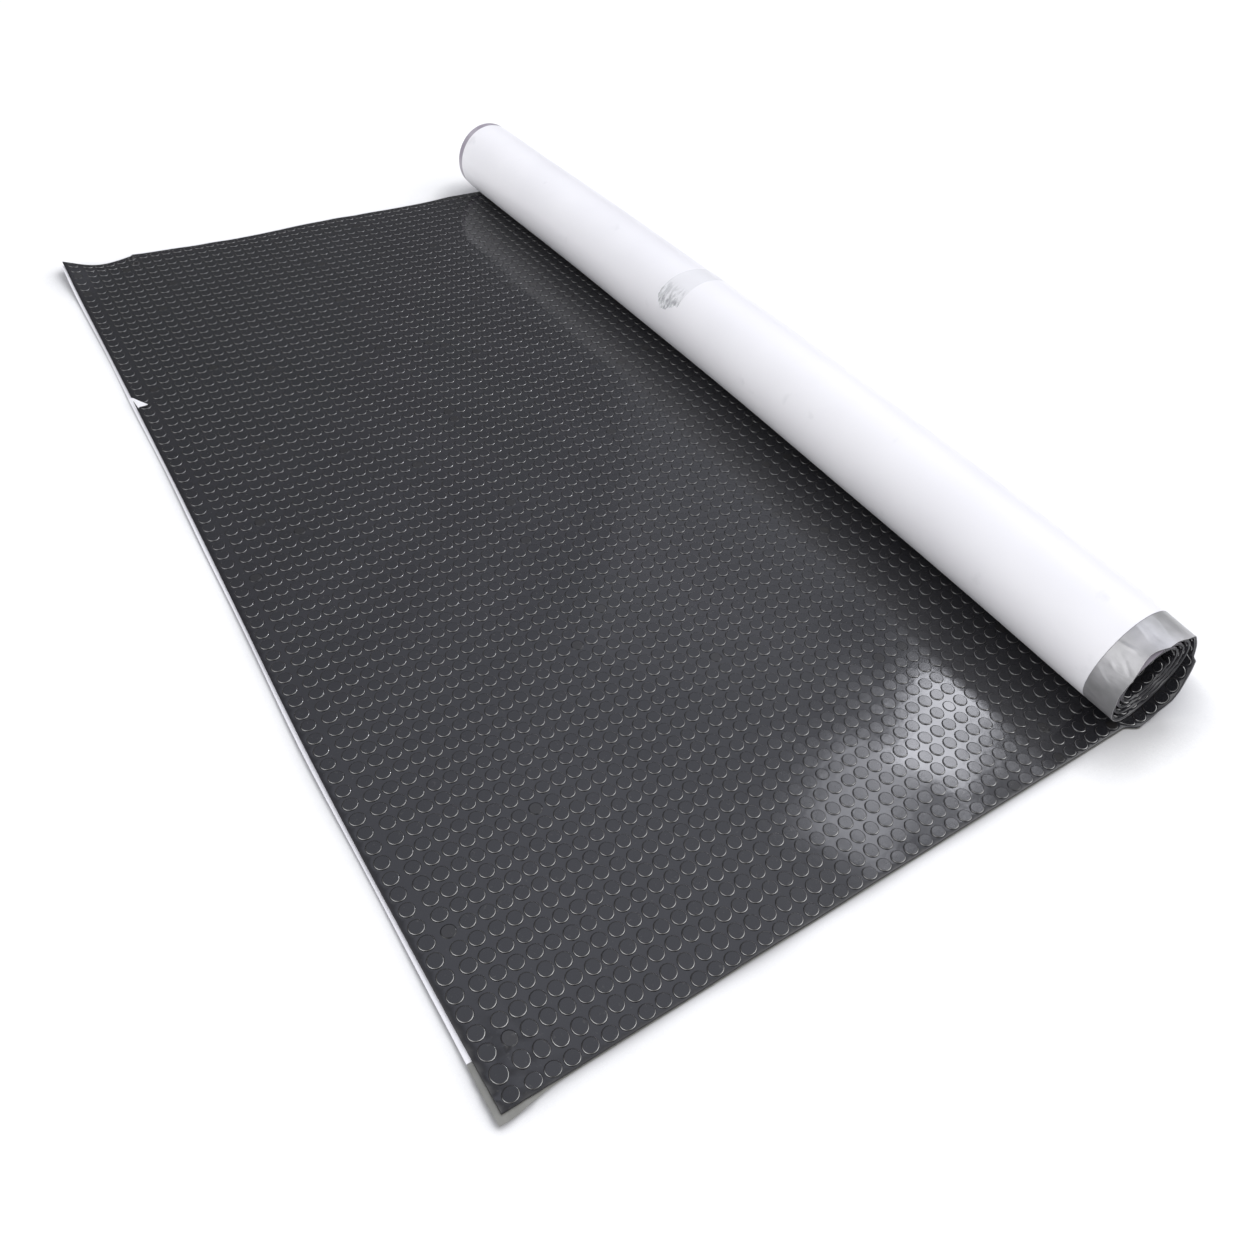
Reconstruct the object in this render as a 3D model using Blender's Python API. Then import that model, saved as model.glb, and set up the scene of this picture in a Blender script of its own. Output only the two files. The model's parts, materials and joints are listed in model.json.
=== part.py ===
"""Self-adhesive studded floor mat, partly unrolled.

X runs from the free edge of the mat to its roll, Y runs along the roll, +Z is up. The origin is in the middle of
the ground that the mat covers. The mat is two layers deep: a studded rubber sheet on top, and under it a paper liner
with a strip of edge tape beside it. The layers lie flat from the free edge to the roll, pass under the roll and wind
up inside it, so that the liner is on the outside of the roll, where a strip of clear tape is stuck over it.

A sheet that bends is cut into rigid pieces here: a flap at the free edge, the flat part, a row of narrow panels
that curl, and the roll.
"""

import math

import bmesh
import bpy
from mathutils import Vector

# ---------------------------------------------------------------- driving dimensions, in metres

SHEET_WIDTH = 1.0           # studded sheet, along the roll
FLAT_LENGTH = 0.51          # from the free edge to the line where the roll starts
ROLL_RADIUS = 0.043         # outside of the roll's first winding
TURNS = 4.25                # windings in the roll
WINDING_GAP = 0.0014        # air between one winding and the next

SHEET_THICKNESS = 0.0024    # to the top of the studs
LINER_THICKNESS = 0.0003    # the edge tape is as thick
LAYER_GAP = 0.0003          # between a layer and the one it is stuck to

EDGE_TAPE_WIDTH = 0.034
EDGE_TAPE_OVERHANG = 0.005  # past the near edge of the sheet
FREE_EDGE_OVERHANG = 0.0045 # liner and edge tape, past the free edge of the sheet
FAR_MARGIN = 0.006          # sheet left bare past the far edge of the liner

CLEAR_TAPE_WIDTH = 0.026
CLEAR_TAPE_THICKNESS = 0.0002
CLEAR_TAPE_MIDDLE = 0.558   # distance of its middle line from the near edge
CLEAR_TAPE_FROM = 130.0     # degrees round the roll from its lowest line
CLEAR_TAPE_TO = 240.0

FLAP_LENGTH = 0.11          # part of the sheet that lifts at the free edge
CURL_STEPS = 6              # hinges that share the curl
CURL_STEP_ANGLE = 32.0      # degrees that each of them turns
CURL_CLEARANCE = 0.001      # between a curled panel and the winding inside it
PANEL_GAP = 0.0004          # between two pieces of one layer

SEGMENTS_PER_TURN = 36

# ---------------------------------------------------------------- what follows from them

LAYERS_THICKNESS = LINER_THICKNESS + LAYER_GAP + SHEET_THICKNESS
SHEET_BOTTOM = LINER_THICKNESS + LAYER_GAP
WINDING_PITCH = LAYERS_THICKNESS + WINDING_GAP
CURL_RADIUS = ROLL_RADIUS - LAYERS_THICKNESS + CURL_CLEARANCE
PANEL_LENGTH = 2 * CURL_RADIUS * math.tan(math.radians(CURL_STEP_ANGLE / 2))
LINER_NEAR = EDGE_TAPE_WIDTH - EDGE_TAPE_OVERHANG + PANEL_GAP
LINER_FAR = SHEET_WIDTH - FAR_MARGIN

COLOURS = {
    "studded_rubber": (0.045, 0.045, 0.05, 1.0),
    "paper_liner": (0.86, 0.86, 0.88, 1.0),
    "silver_tape": (0.55, 0.55, 0.57, 1.0),
    "clear_film": (0.80, 0.82, 0.82, 1.0),
}
ROUGHNESS = {"studded_rubber": 0.45, "paper_liner": 0.55, "silver_tape": 0.3, "clear_film": 0.2}
METALLIC = {"studded_rubber": 0.0, "paper_liner": 0.0, "silver_tape": 0.6, "clear_film": 0.0}


def winding_point(angle, depth):
    """A point of the roll's cross section: angle round it from the lowest line, depth in from its outside."""
    radius = ROLL_RADIUS - WINDING_PITCH * angle / (2 * math.pi) - depth
    return (FLAT_LENGTH + radius * math.sin(angle), ROLL_RADIUS - radius * math.cos(angle))


def arc_pairs(from_angle, to_angle, outer_depth, inner_depth):
    """Pairs of outer and inner points along the winding, one for each step round it."""
    steps = round((to_angle - from_angle) * SEGMENTS_PER_TURN / (2 * math.pi))
    pairs = []
    for step in range(steps + 1):
        angle = from_angle + (to_angle - from_angle) * step / steps
        pairs.append((winding_point(angle, outer_depth), winding_point(angle, inner_depth)))
    return pairs


def flat_pairs(start_x, end_x, bottom, top):
    """The two ends of a flat stretch, as pairs of lower and upper points."""
    return [((start_x, bottom), (start_x, top)), ((end_x, bottom), (end_x, top))]


def rolled_pairs(start_x, bottom, top):
    """A stretch that starts flat on the ground at start_x and then winds up."""
    return flat_pairs(start_x, FLAT_LENGTH, bottom, top)[:1] + arc_pairs(0, TURNS * 2 * math.pi, bottom, top)


# The origin is in the middle of the box round everything, on the ground.
ROLL_FRONT = max(outer[0] for outer, inner in arc_pairs(0, math.pi, 0, LAYERS_THICKNESS))
ORIGIN = Vector(((ROLL_FRONT - FREE_EDGE_OVERHANG) / 2, (SHEET_WIDTH - EDGE_TAPE_OVERHANG) / 2, 0))


def clear_scene():
    for old in list(bpy.data.objects):
        bpy.data.objects.remove(old, do_unlink=True)


def make_material(name):
    material = bpy.data.materials.new(name)
    material.use_nodes = True
    shader = material.node_tree.nodes["Principled BSDF"]
    shader.inputs["Base Color"].default_value = COLOURS[name]
    shader.inputs["Roughness"].default_value = ROUGHNESS[name]
    shader.inputs["Metallic"].default_value = METALLIC[name]
    return material


def make_pivot(name, x, z, parent=None):
    """An empty on a hinge line, which runs along Y. Its children turn with it."""
    pivot = bpy.data.objects.new(name, None)
    place = Vector((x, SHEET_WIDTH / 2, z)) - ORIGIN
    pivot["place"] = place
    if parent is not None:
        pivot.parent = parent
        place = place - Vector(parent["place"])
    pivot.location = place
    bpy.context.collection.objects.link(pivot)
    return pivot


def make_layer(name, pairs, near, far, material, pivot=None):
    """A layer of even thickness: a ribbon across its cross section, extruded from near to far along Y."""
    place = Vector(pivot["place"]) if pivot is not None else Vector((0, 0, 0))
    mesh_data = bmesh.new()
    rows = []
    for pair in pairs:
        corners = [Vector((x, near, z)) - ORIGIN - place for x, z in pair]
        rows.append([mesh_data.verts.new(corner) for corner in corners])
    for row, following in zip(rows, rows[1:]):
        mesh_data.faces.new((row[0], following[0], following[1], row[1]))
    grown = bmesh.ops.extrude_face_region(mesh_data, geom=list(mesh_data.faces))
    moved = [item for item in grown["geom"] if isinstance(item, bmesh.types.BMVert)]
    bmesh.ops.translate(mesh_data, verts=moved, vec=(0, far - near, 0))
    bmesh.ops.recalc_face_normals(mesh_data, faces=list(mesh_data.faces))
    mesh = bpy.data.meshes.new(name)
    mesh_data.to_mesh(mesh)
    mesh_data.free()
    mesh.shade_smooth()
    mesh.set_sharp_from_angle(angle=math.radians(30))
    mesh.materials.append(material)
    layer = bpy.data.objects.new(name, mesh)
    layer.parent = pivot
    bpy.context.collection.objects.link(layer)
    return layer


def make_flat_layers(part, start_x, end_x, materials, pivot=None, liner_pivot=None, overhang=0.0):
    """The three layers of one flat stretch. Liner and tape may stick out past the sheet at its start."""
    rubber, paper, silver = materials
    sheet = flat_pairs(start_x, end_x, SHEET_BOTTOM, LAYERS_THICKNESS)
    under = flat_pairs(start_x - overhang, end_x, 0, LINER_THICKNESS)
    make_layer("studded_sheet_" + part, sheet, 0, SHEET_WIDTH, rubber, pivot)
    make_layer("liner_" + part, under, LINER_NEAR, LINER_FAR, paper, liner_pivot or pivot)
    make_layer("edge_tape_" + part, under, -EDGE_TAPE_OVERHANG, LINER_NEAR - PANEL_GAP, silver, pivot)


def make_roll(start_x, materials, pivot):
    rubber, paper, silver = materials
    sheet = rolled_pairs(start_x, SHEET_BOTTOM, LAYERS_THICKNESS)
    under = rolled_pairs(start_x, 0, LINER_THICKNESS)
    make_layer("studded_sheet_roll", sheet, 0, SHEET_WIDTH, rubber, pivot)
    make_layer("liner_roll", under, LINER_NEAR, LINER_FAR, paper, pivot)
    make_layer("edge_tape_roll", under, -EDGE_TAPE_OVERHANG, LINER_NEAR - PANEL_GAP, silver, pivot)


def make_clear_tape(material, pivot):
    """A strip of clear tape over the top of the roll, stuck to the liner."""
    start = math.radians(CLEAR_TAPE_FROM)
    end = math.radians(CLEAR_TAPE_TO)
    pairs = arc_pairs(start, end, -LAYER_GAP - CLEAR_TAPE_THICKNESS, -LAYER_GAP)
    near = CLEAR_TAPE_MIDDLE - CLEAR_TAPE_WIDTH / 2
    make_layer("clear_tape", pairs, near, near + CLEAR_TAPE_WIDTH, material, pivot)


def build():
    clear_scene()
    rubber = make_material("studded_rubber")
    paper = make_material("paper_liner")
    silver = make_material("silver_tape")
    clear = make_material("clear_film")
    layers = (rubber, paper, silver)
    half_gap = PANEL_GAP / 2

    # Hinge lines: on top of the sheet, so that a piece that turns up never meets the one beside it.
    hinges = [FLAT_LENGTH - (CURL_STEPS - 0.5 - step) * PANEL_LENGTH for step in range(CURL_STEPS)]

    make_flat_layers("main", FLAP_LENGTH + half_gap, hinges[0] - half_gap, layers)

    flap_pivot = make_pivot("pivot_edge_lift", FLAP_LENGTH, LAYERS_THICKNESS)
    liner_pivot = make_pivot("pivot_liner_peel", FLAP_LENGTH, LINER_THICKNESS)
    flap_end = FLAP_LENGTH - half_gap
    make_flat_layers("flap", 0, flap_end, layers, flap_pivot, liner_pivot, FREE_EDGE_OVERHANG)

    pivot = None
    for number, hinge_x in enumerate(hinges, start=1):
        pivot = make_pivot("pivot_curl_%d" % number, hinge_x, LAYERS_THICKNESS, pivot)
        if number < CURL_STEPS:
            panel_end = hinge_x + PANEL_LENGTH - half_gap
            make_flat_layers("panel_%d" % number, hinge_x + half_gap, panel_end, layers, pivot)
    make_roll(hinges[-1] + half_gap, layers, pivot)
    make_clear_tape(clear, pivot)


build()
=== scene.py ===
import json
import math

import bmesh
import bpy
import numpy as np
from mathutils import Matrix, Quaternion, Vector


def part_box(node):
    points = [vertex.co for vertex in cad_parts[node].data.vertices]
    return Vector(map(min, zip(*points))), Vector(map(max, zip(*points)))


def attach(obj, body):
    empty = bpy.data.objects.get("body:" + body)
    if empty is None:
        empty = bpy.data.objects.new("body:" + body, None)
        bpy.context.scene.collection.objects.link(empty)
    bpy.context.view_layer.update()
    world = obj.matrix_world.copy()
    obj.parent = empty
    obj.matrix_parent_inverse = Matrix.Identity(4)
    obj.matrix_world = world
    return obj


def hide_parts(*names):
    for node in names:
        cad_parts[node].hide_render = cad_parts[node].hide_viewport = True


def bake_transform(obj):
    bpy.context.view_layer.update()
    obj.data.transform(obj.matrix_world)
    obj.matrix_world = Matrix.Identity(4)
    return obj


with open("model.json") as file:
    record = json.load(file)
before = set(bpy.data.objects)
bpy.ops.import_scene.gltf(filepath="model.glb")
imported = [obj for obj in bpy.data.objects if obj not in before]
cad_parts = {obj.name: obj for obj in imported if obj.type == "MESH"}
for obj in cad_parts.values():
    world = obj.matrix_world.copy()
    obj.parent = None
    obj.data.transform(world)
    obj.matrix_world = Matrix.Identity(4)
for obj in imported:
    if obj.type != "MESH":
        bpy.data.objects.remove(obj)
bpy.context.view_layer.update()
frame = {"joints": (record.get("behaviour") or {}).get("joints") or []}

# %% [markdown]
# ## The sizes that everything follows
# The flat part, the edges and the hinge lines are read from the frame, so that the looks can't
# drift away from the model. Two facts about the roll can't be read from a box: how far apart its
# windings are and how many it has. They are written down once, here.
# %% Read the sizes
MM = 0.001
STUD_HEIGHT = 0.8 * MM
sheet_low, sheet_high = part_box("studded_sheet_main")
liner_low, liner_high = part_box("liner_main")
tape_low, tape_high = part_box("edge_tape_main")
FREE_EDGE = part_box("studded_sheet_flap")[0][0]
LINER_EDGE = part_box("liner_flap")[0][0]
NEAR_EDGE, FAR_EDGE = sheet_low[1], sheet_high[1]
LINER_TOP, SHEET_BOTTOM, SHEET_TOP = liner_high[2], sheet_low[2], sheet_high[2]
BASE = SHEET_TOP - STUD_HEIGHT

hinge_x = {joint["name"]: joint["pos_m"][0] for joint in frame["joints"]}
PANEL = hinge_x["curl_2"] - hinge_x["roll_up"]
ROLL_LINE = hinge_x["curl_6"] + PANEL / 2
CURLS = 6

WINDING_PITCH = 4.4 * MM
TURNS = 4.25
ROLL_RADIUS = (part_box("liner_roll")[1][2] + WINDING_PITCH / 2) / 2
print(f"flat {ROLL_LINE - FREE_EDGE:.3f} m, across {FAR_EDGE - NEAR_EDGE:.3f} m")
print(f"roll radius {ROLL_RADIUS:.4f} m")

# %% [markdown]
# ## How the mat lies
# Every layer of the mat is drawn flat first, as a strip with a length along the mat, a place across
# it and a height above its underside. One function then lays those points down: flat up to the line
# where the roll starts, and from there round a spiral. Drawing flat and bending afterwards keeps
# the studs round and the layers evenly apart, which is hard to do if each curved piece is modelled
# where it lies.
# %% Turn a length of mat into an angle round the roll
def ease(value, start, end):
    """0 before start, 1 after end, and a smooth step between them."""
    share = np.clip((value - start) / (end - start), 0, 1)
    return share * share * (3 - 2 * share)


def angle_at(along):
    """The angle round the roll, from its lowest line, at a place along the mat. It is 0 on the flat part."""
    first = ROLL_RADIUS - SHEET_TOP / 2
    wound = np.maximum(along - ROLL_LINE, 0)
    inside = np.maximum(first**2 - WINDING_PITCH * wound / math.pi, 0)
    return (first - np.sqrt(inside)) * 2 * math.pi / WINDING_PITCH


def along_at(angle):
    """The place along the mat that is wound up at an angle: the reverse of angle_at."""
    return ROLL_LINE + (ROLL_RADIUS - SHEET_TOP / 2) * angle - WINDING_PITCH * angle**2 / (4 * math.pi)


ROLL_END = along_at(TURNS * 2 * math.pi)
print(f"wound length {ROLL_END - ROLL_LINE:.3f} m, whole sheet {ROLL_END - FREE_EDGE:.3f} m")

# %% [markdown]
# ## Handled rubber is never quite flat
# The far corner of the free edge has curled up, the near corner is rumpled, and the whole sheet has
# shallow waves from having been rolled. A cloth simulation could find such shapes, but a few smooth
# formulas put them where they are wanted and give the same result each time. They only ever lift
# the mat, because the floor is under it.
# %% Lift the flat part a little
CORNER_CURL = 8 * MM
SHEET_WAVE = 0.3 * MM
EDGE_RIPPLE = 0.25 * MM
CORNER_RUMPLE = 0.8 * MM
LINER_LIFT = 0.5 * MM


def rise(along, across):
    """How far the flat part has lifted off the floor."""
    from_free = along - FREE_EDGE
    from_near = across - NEAR_EDGE
    from_far = FAR_EDGE - across
    wave = 1 + np.sin(from_free * 47 + 2 * np.sin(from_near * 9)) * np.sin(from_near * 31 + from_free * 11)
    curl = np.exp(-(from_free / 0.03) ** 2 - (np.maximum(from_far, 0) / 0.05) ** 2)
    ripple = np.exp(-np.maximum(from_far, 0) / 0.012)
    ripple = ripple * (1 + np.sin(from_free * 90 + np.sin(from_free * 40) * 2))
    near_ripple = np.exp(-np.maximum(from_near, 0) / 0.015) * (1 + np.sin(from_free * 75 + 1.5))
    rumple = np.exp(-((from_free - 0.014) / 0.022) ** 2 - ((from_near - 0.02) / 0.03) ** 2)
    rumple = rumple * (1 + np.sin(from_free * 420 + from_near * 260) * np.sin(from_near * 310))
    lifted = LINER_LIFT * np.minimum(np.maximum(-from_free, 0) / (3 * MM), 1)
    total = SHEET_WAVE * wave + CORNER_CURL * curl
    total = total + EDGE_RIPPLE * (ripple + near_ripple) + CORNER_RUMPLE * rumple
    return lifted + total * (1 - ease(along, ROLL_LINE - 0.07, ROLL_LINE - 0.005))


# %% [markdown]
# ## The roll is bowed and dented
# A long soft roll is never a perfect cylinder. This one bows: its two ends lie a few millimetres
# nearer the flat part than its middle does, and it is a little slimmer at the far end. Paper that
# is rolled tight also shows long shallow dents that run slowly round it.
# %% Bow and dent the roll
DENT = 0.4 * MM
BOW = 5.4 * MM
BOW_BACK = 1.8 * MM
END_SLIM = 1.3 * MM


def dent(angle, across):
    """How far the windings are pushed in, the same for each of them, so that they never meet."""
    round_it = np.sin(2 * angle + across * 7) * np.sin(across * 13 + angle)
    round_it = round_it + np.sin(3 * angle - across * 11) / 2
    return DENT * round_it * ease(angle, 0.3, 1.2)


def bow(across):
    """How far the roll lies from its straight line, positive away from the flat part."""
    return BOW * np.cos(4 * (across - NEAR_EDGE - 0.45)) - BOW_BACK


def slimmer(across):
    """How much smaller the roll is than its full radius."""
    near_end = 1 - ease(across, NEAR_EDGE, NEAR_EDGE + 0.06)
    return END_SLIM * (ease(across, NEAR_EDGE + 0.3, FAR_EDGE) + near_end)


# %% [markdown]
# ## Nothing was cut quite straight
# The free edge wanders by a few millimetres. The far edge was cut short between the free corner and
# a nick in it, and it wavers beyond. At the near end of the roll the windings don't end in one
# plane either: that cut is drawn as twenty-three measured distances at angles round the first
# winding, and the inner windings sit a little deeper.
# %% Describe the cuts
NICK_AT = FREE_EDGE + 70 * MM
SHORT_CUT = 10 * MM
CUT_ANGLES = [0, 12, 28, 46, 57, 66, 81, 93, 95, 105, 125, 140]
CUT_BACK = [-5.3, -5.1, -4.4, -5.3, -4.2, -2.9, -1.1, 0.3, 3.0, 4.0, 5.5, 5.0]
CUT_ANGLES += [160, 167, 181, 193, 205, 212, 221, 231, 242, 265, 276]
CUT_BACK += [3.4, 3.2, 4.5, 4.3, 7.4, 8.2, 7.5, 6.0, 4.9, 5.4, 4.4]
INNER_SETBACK = 4.5 * MM
TURN_SETBACK = 1.0 * MM


def free_cut(from_near):
    """How far the free edge is cut back, from place to place."""
    outward = 2.9 * MM * np.exp(-(((from_near - 0.25) / 0.16) ** 2))
    near_corner = 1.5 * MM * np.exp(-np.maximum(from_near, 0) / 0.05)
    return 1.8 * MM * ease(from_near, 0.35, 0.8) + near_corner - outward


def far_cut(from_free):
    """How far the far edge is cut back: a shallow curve up to the nick, and a slow waver after it."""
    share = np.clip(from_free / (NICK_AT - FREE_EDGE), 0, 1)
    after = ease(from_free, 0.07, 0.15) * (4.5 + 1.4 * np.cos((from_free - 0.19) * 33)) * MM
    after = after - 3 * MM * np.exp(-np.maximum(from_free - 0.07, 0) / 0.012)
    return np.where(from_free < NICK_AT - FREE_EDGE, SHORT_CUT * np.sin(math.pi * share**0.8), after)


def near_cut(along, angle):
    """How far the near edge is cut back: not at all on the flat part, and unevenly round the roll."""
    degrees = np.degrees(angle)
    first_turn = np.interp(degrees, CUT_ANGLES, CUT_BACK) * MM
    inner_turns = INNER_SETBACK + TURN_SETBACK * degrees / 360
    rolled = first_turn + (inner_turns - first_turn) * ease(degrees, 330, 420)
    flat = -2.2 * MM * (1 - (along - FREE_EDGE) / (ROLL_LINE - FREE_EDGE))
    return flat + (rolled - flat) * ease(along, ROLL_LINE - 0.012, ROLL_LINE)


# %% [markdown]
# ## One function lays every layer
# With those corrections, any point of any layer can be put in its place. The corrections fade away
# a few centimetres in from each edge. Liner and tape stick out past the sheet, but less than the
# model's plain strips do, and least of all round the roll.
# %% Lay points down
CUT_FADE = 30 * MM
FREE_FADE = 60 * MM
TRIM_BY = math.radians(12)


def trim(along, across, angle):
    """Moves points near the edges to where the sheet, its liner and its tape really end."""
    from_free, from_near = along - FREE_EDGE, across - NEAR_EDGE
    keep_free = 0.55 + 0.08 * np.sin(from_near * 29) + 0.3 * np.exp(-((from_near / 0.03) ** 2))
    keep_near = (0.06 + 0.8 * np.exp(-((from_free / 0.02) ** 2))) * (1 - ease(angle, 0, TRIM_BY)) + 0.06
    along = along + np.maximum(-from_free, 0) * (1 - keep_free)
    along = along + free_cut(from_near) * (1 - ease(from_free, 0, FREE_FADE))
    across = across + np.maximum(-from_near, 0) * (1 - keep_near)
    across = across + near_cut(along, angle) * (1 - ease(from_near, 0, CUT_FADE))
    return along, across - far_cut(from_free) * ease(across, FAR_EDGE - CUT_FADE, FAR_EDGE) * (angle == 0)


def lay(along, across, height):
    """Places of points given by length along the mat, place across it and height above its underside."""
    along, across, height = (np.asarray(values, dtype=float) for values in (along, across, height))
    angle = angle_at(along)
    flat = along <= ROLL_LINE
    along, across = trim(along, across, angle)
    slim = slimmer(across)
    radius = ROLL_RADIUS - slim - WINDING_PITCH * angle / (2 * math.pi) - height - dent(angle, across)
    x = np.where(flat, along, ROLL_LINE + radius * np.sin(angle))
    x = x + bow(across) * ease(along, ROLL_LINE - 0.12, ROLL_LINE - 0.02)
    z = np.where(flat, height + rise(along, across), ROLL_RADIUS - slim - radius * np.cos(angle))
    return np.stack([x, across, z], axis=-1)


print("top of the roll at", lay([along_at(math.pi)], [0], [0])[0].round(4))

# %% [markdown]
# ## From points to an object
# All meshes here start as arrays of points and faces in the flat, which is the quickest way for a
# surface with thousands of small equal parts. Welding closes the skin and turns its faces outwards
# while it is still flat, and only then is it laid down. Edges sharper than the angle below stay
# crisp, and the rest is shaded smooth.
# %% Make an object from a flat drawing
SHARP = math.radians(50)
WELD = 0.001 * MM
SIDES = 16


def make_piece(name, points, faces, materials, back_height=None):
    """Makes an object from a flat drawing. Its faces at back_height get the second material."""
    mesh = bpy.data.meshes.new(name)
    mesh.from_pydata(np.concatenate(points).tolist(), [], faces)
    skin = bmesh.new()
    skin.from_mesh(mesh)
    bmesh.ops.remove_doubles(skin, verts=skin.verts, dist=WELD)
    bmesh.ops.recalc_face_normals(skin, faces=skin.faces)
    for face in skin.faces:
        if back_height is not None and all(abs(vert.co.z - back_height) < WELD for vert in face.verts):
            face.material_index = 1
    skin.to_mesh(mesh)
    skin.free()
    drawn = np.empty(len(mesh.vertices) * 3)
    mesh.vertices.foreach_get("co", drawn)
    along, across, height = drawn.reshape(-1, 3).T
    mesh.vertices.foreach_set("co", lay(along, across, height).ravel())
    painted = {"stud_height": (height - BASE) / STUD_HEIGHT, "wound": angle_at(along) / math.pi}
    for label, values in painted.items():
        mesh.attributes.new(label, "FLOAT", "POINT").data.foreach_set("value", values)
    for material in materials:
        mesh.materials.append(material)
    mesh.shade_smooth()
    mesh.set_sharp_from_angle(angle=SHARP)
    sharp = mesh.attributes["sharp_edge"].data if "sharp_edge" in mesh.attributes else None
    tops = [face for face in mesh.polygons if len(face.vertices) == SIDES]
    for face in tops:
        for loop in mesh.loops[face.loop_start : face.loop_start + SIDES]:
            sharp[loop.edge_index].value = True
    piece = bpy.data.objects.new(name, mesh)
    bpy.context.scene.collection.objects.link(piece)
    return piece


# %% [markdown]
# ## Plain strips
# Liner, tape and the hidden middle of the roll are plain strips of even thickness. A strip is two
# grids of points, one for each side, and a wall round them. A shape function may raise some of its
# points, for creases.
# %% Draw a grid and a strip
def draw_grid(along, across, height, first):
    """Points and faces of a flat grid. The points are numbered from first on."""
    columns, rows = np.meshgrid(along, across, indexing="ij")
    points = np.stack([columns.ravel(), rows.ravel(), np.full(columns.size, height)], axis=1)
    number = first + np.arange(columns.size).reshape(columns.shape)
    corners = (number[:-1, :-1], number[1:, :-1], number[1:, 1:], number[:-1, 1:])
    return points, np.stack(corners, axis=-1).reshape(-1, 4).tolist(), number


def round_grid(number):
    """The numbers of the points round the outside of a grid, in order."""
    return np.concatenate([number[:-1, 0], number[-1, :-1], number[:0:-1, -1], number[0, :0:-1]])


def draw_wall(upper, lower):
    """Faces that join two closed lines of points."""
    return np.stack([upper, lower, np.roll(lower, -1), np.roll(upper, -1)], axis=1).tolist()


def plain_strip(name, along, across, low, high, materials, shape=None, back_height=None):
    bottom, bottom_faces, bottom_number = draw_grid(along, across, low, 0)
    top, top_faces, top_number = draw_grid(along, across, high, len(bottom))
    if shape is not None:
        bottom, top = shape(bottom), shape(top)
    walls = draw_wall(round_grid(top_number), round_grid(bottom_number))
    return make_piece(name, [bottom, top], bottom_faces + top_faces + walls, materials, back_height)


def steps(start, end, size):
    """Evenly spaced values from start to end, about size apart."""
    return np.linspace(start, end, max(1, round((end - start) / size)) + 1)


# %% [markdown]
# ## Materials: small helpers
# A material is a graph of nodes. The first helper adds one node, sets its values and joins its
# inputs. The others make the small groups of nodes that come back in each finish, so that a finish
# below reads like a recipe.
# %% Add a node and join it up
def add_node(tree, kind, settings=(), **inputs):
    """Adds a node. An input has its socket's name, with _ for a space, or is in0, in1 and so on."""
    node = tree.nodes.new("ShaderNode" + kind)
    for key, value in dict(settings).items():
        setattr(node, key, value)
    for key, value in inputs.items():
        socket = node.inputs[int(key[2:]) if key.startswith("in") else key.replace("_", " ")]
        if isinstance(value, bpy.types.NodeSocket):
            tree.links.new(value, socket)
        else:
            socket.default_value = value
    return node


def new_finish(name, **values):
    """A material with one Principled shader, whose plain values are set by the names of its sockets."""
    material = bpy.data.materials.new(name)
    material.use_nodes = True
    tree = material.node_tree
    shader = tree.nodes["Principled BSDF"]
    for key, value in values.items():
        shader.inputs[key.replace("_", " ")].default_value = value
    place = add_node(tree, "TexCoord").outputs["Object"]
    return material, tree, shader, place


def remap(tree, value, low=0.0, high=1.0, new_low=0.0, new_high=1.0):
    """A value between low and high, moved to lie between new_low and new_high."""
    node = add_node(tree, "MapRange", in0=value, in1=low, in2=high, in3=new_low, in4=new_high)
    return node.outputs["Result"]


def math_node(tree, operation, first, second):
    """The sum, product or another simple mix of two values."""
    return add_node(tree, "Math", {"operation": operation}, in0=first, in1=second).outputs["Value"]


def noise_bump(tree, place, scale, detail, strength, depth, **under):
    """A noise that tilts the surface as if it were depth deep, on top of another bump if one is given."""
    noise = add_node(tree, "TexNoise", Vector=place, Scale=scale, Detail=detail).outputs["Fac"]
    bump = add_node(tree, "Bump", Strength=strength, Distance=depth, Height=noise, **under)
    return bump.outputs["Normal"]


def spotting(tree, place, scale, low, high, detail=3.0):
    """A soft noise, stretched so that it runs from 0 to 1 between two of its levels."""
    noise = add_node(tree, "TexNoise", Vector=place, Scale=scale, Detail=detail)
    return remap(tree, noise.outputs["Fac"], low, high)


def blend_colours(tree, share, first, second):
    """Two colours mixed by a share. Each is given as red, green and blue."""
    mix = add_node(tree, "Mix", {"data_type": "RGBA"})
    for place, colour in ((6, first), (7, second)):
        if isinstance(colour, bpy.types.NodeSocket):
            tree.links.new(colour, mix.inputs[place])
        else:
            mix.inputs[place].default_value = (*colour, 1)
    tree.links.new(share, mix.inputs[0])
    return mix.outputs[2]


# %% [markdown]
# ## Finish: black studded rubber
# The rubber is nearly black and half glossy. Dust and handling have greyed it in soft patches, and
# its skin has a fine grain that breaks up reflections. The grain is bump, because it is far too
# small to model; the studs are real mesh. The foot of each stud is painted darker, as painted shade
# in the crease round it, and its rim a lighter brown, as a painted highlight. The rims of the studs
# show small bright crescents. Plain rubber mirrors too little for that in this light, so the rims
# get a clear coat. It mirrors more than real rubber would, and its strength was chosen for its look.
# %% Make the rubber
BASE_TONE = (0.0165, 0.0165, 0.0195)
# painted shade: the foot of each stud is darker
FOOT_SHADE_TONE = (0.008, 0.008, 0.009)
# painted highlight: the rim of each stud is a lighter brown
RIM_HIGHLIGHT_TONE = (0.046, 0.042, 0.038)
TOP_TONE = (0.0120, 0.0122, 0.0145)
POLISH_IOR = 2.6
# the colours up each stud: dusty base, painted shade at the foot, painted highlight at the rim, top
STUD_TONES = [(0.0, BASE_TONE), (0.12, FOOT_SHADE_TONE), (0.50, FOOT_SHADE_TONE), (0.79, RIM_HIGHLIGHT_TONE), (0.87, TOP_TONE)]


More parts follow.
